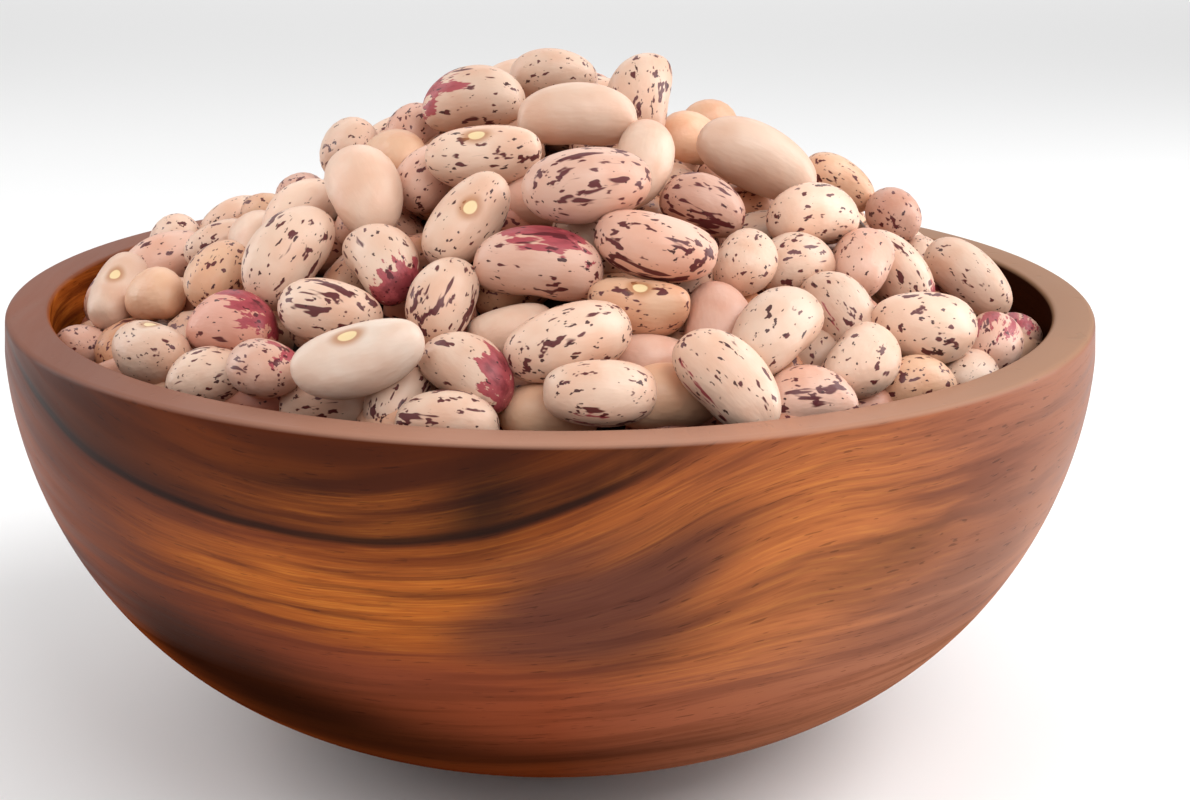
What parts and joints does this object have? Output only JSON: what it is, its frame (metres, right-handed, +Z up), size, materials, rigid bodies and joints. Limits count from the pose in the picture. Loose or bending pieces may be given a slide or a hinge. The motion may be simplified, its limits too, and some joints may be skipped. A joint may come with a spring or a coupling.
{
  "type": "bowl of dried beans",
  "caption": "Turned wooden bowl heaped with dried speckled beans, standing on its small round foot.",
  "frame": {"origin": "middle of the underside of the foot, on the surface that the bowl stands on", "axes": "+Z up through the middle of the bowl; -Y towards the side that the picture shows"},
  "size_m": [0.1556, 0.1556, 0.1003],
  "materials": {
    "wood": "polished dark reddish-brown hardwood with golden grain",
    "beans": "dry satin seed coat, cream-pink with crimson specks, streaks and patches"
  },
  "bodies": {
    "root": {"bowl": "wood", "bean_heap": "beans"}
  },
  "joints": []
}
